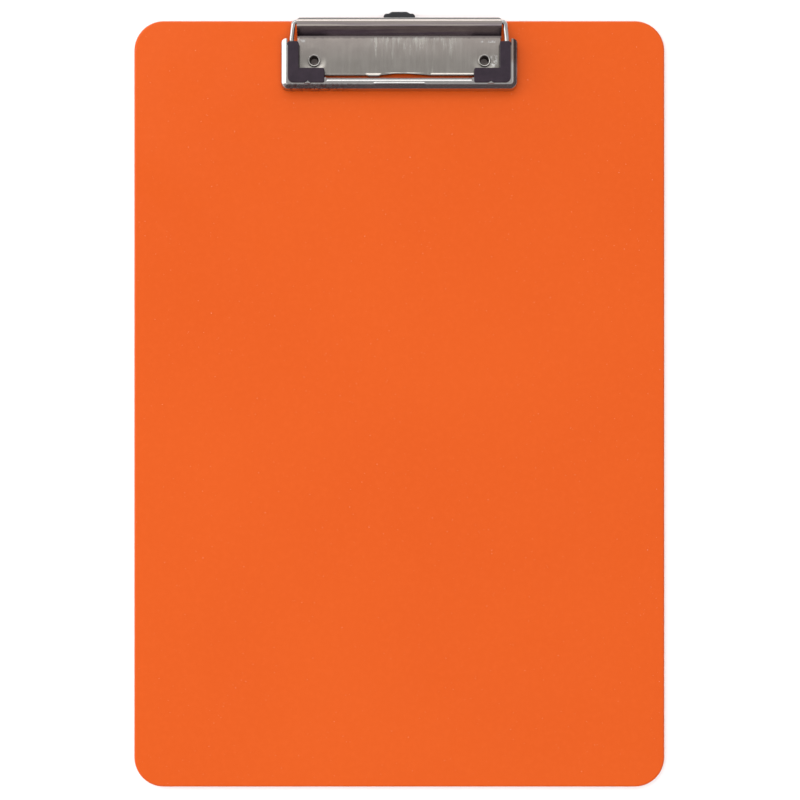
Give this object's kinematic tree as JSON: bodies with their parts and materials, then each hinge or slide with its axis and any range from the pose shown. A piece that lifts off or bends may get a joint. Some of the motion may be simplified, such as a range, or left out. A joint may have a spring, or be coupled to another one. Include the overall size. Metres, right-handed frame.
{
  "type": "clipboard",
  "caption": "Flat rectangular clipboard with a low-profile wire-spring clip: riveted base plate, sprung jaw with rubber grips, and a pull-out hanger.",
  "frame": {"origin": "centre of the board's flat back face", "axes": "+X to the right as the writing face is read, +Y to the clip end, +Z out of the writing face"},
  "size_m": [0.2286, 0.3338, 0.0099],
  "materials": {
    "board_plastic": "orange moulded plastic, semi-gloss",
    "plate_metal": "nickel-plated sheet steel with a bright, slightly streaked finish",
    "jaw_metal": "nickel-plated drawn sheet steel, bright",
    "wire_metal": "nickel-plated spring wire, bright",
    "grip_rubber": "satin purplish-black rubber",
    "rivet_metal": "nickel-plated hollow rivet, bright",
    "hanger_plastic": "satin black plastic"
  },
  "bodies": {
    "board_and_base": {"board": "board_plastic", "clip_base": "plate_metal", "left_rivet": "rivet_metal", "right_rivet": "rivet_metal"},
    "jaw": {"clip_jaw": "jaw_metal", "spring_wire": "wire_metal", "left_grip_pad": "grip_rubber", "right_grip_pad": "grip_rubber"},
    "hanger": {"hanger": "hanger_plastic"}
  },
  "joints": [
    {"name": "jaw_hinge", "type": "hinge", "parent": "board_and_base", "child": "jaw", "pos_m": [0, 0.16355, 0.0075], "axis": [-1, 0, 0], "range_deg": [0, 75], "stiffness_Nm_per_rad": 0.4, "springref_deg": -40.11},
    {"name": "hanger_slide", "type": "slide", "parent": "board_and_base", "child": "hanger", "axis": [0, 1, 0], "range_m": [0, 0.016]}
  ]
}
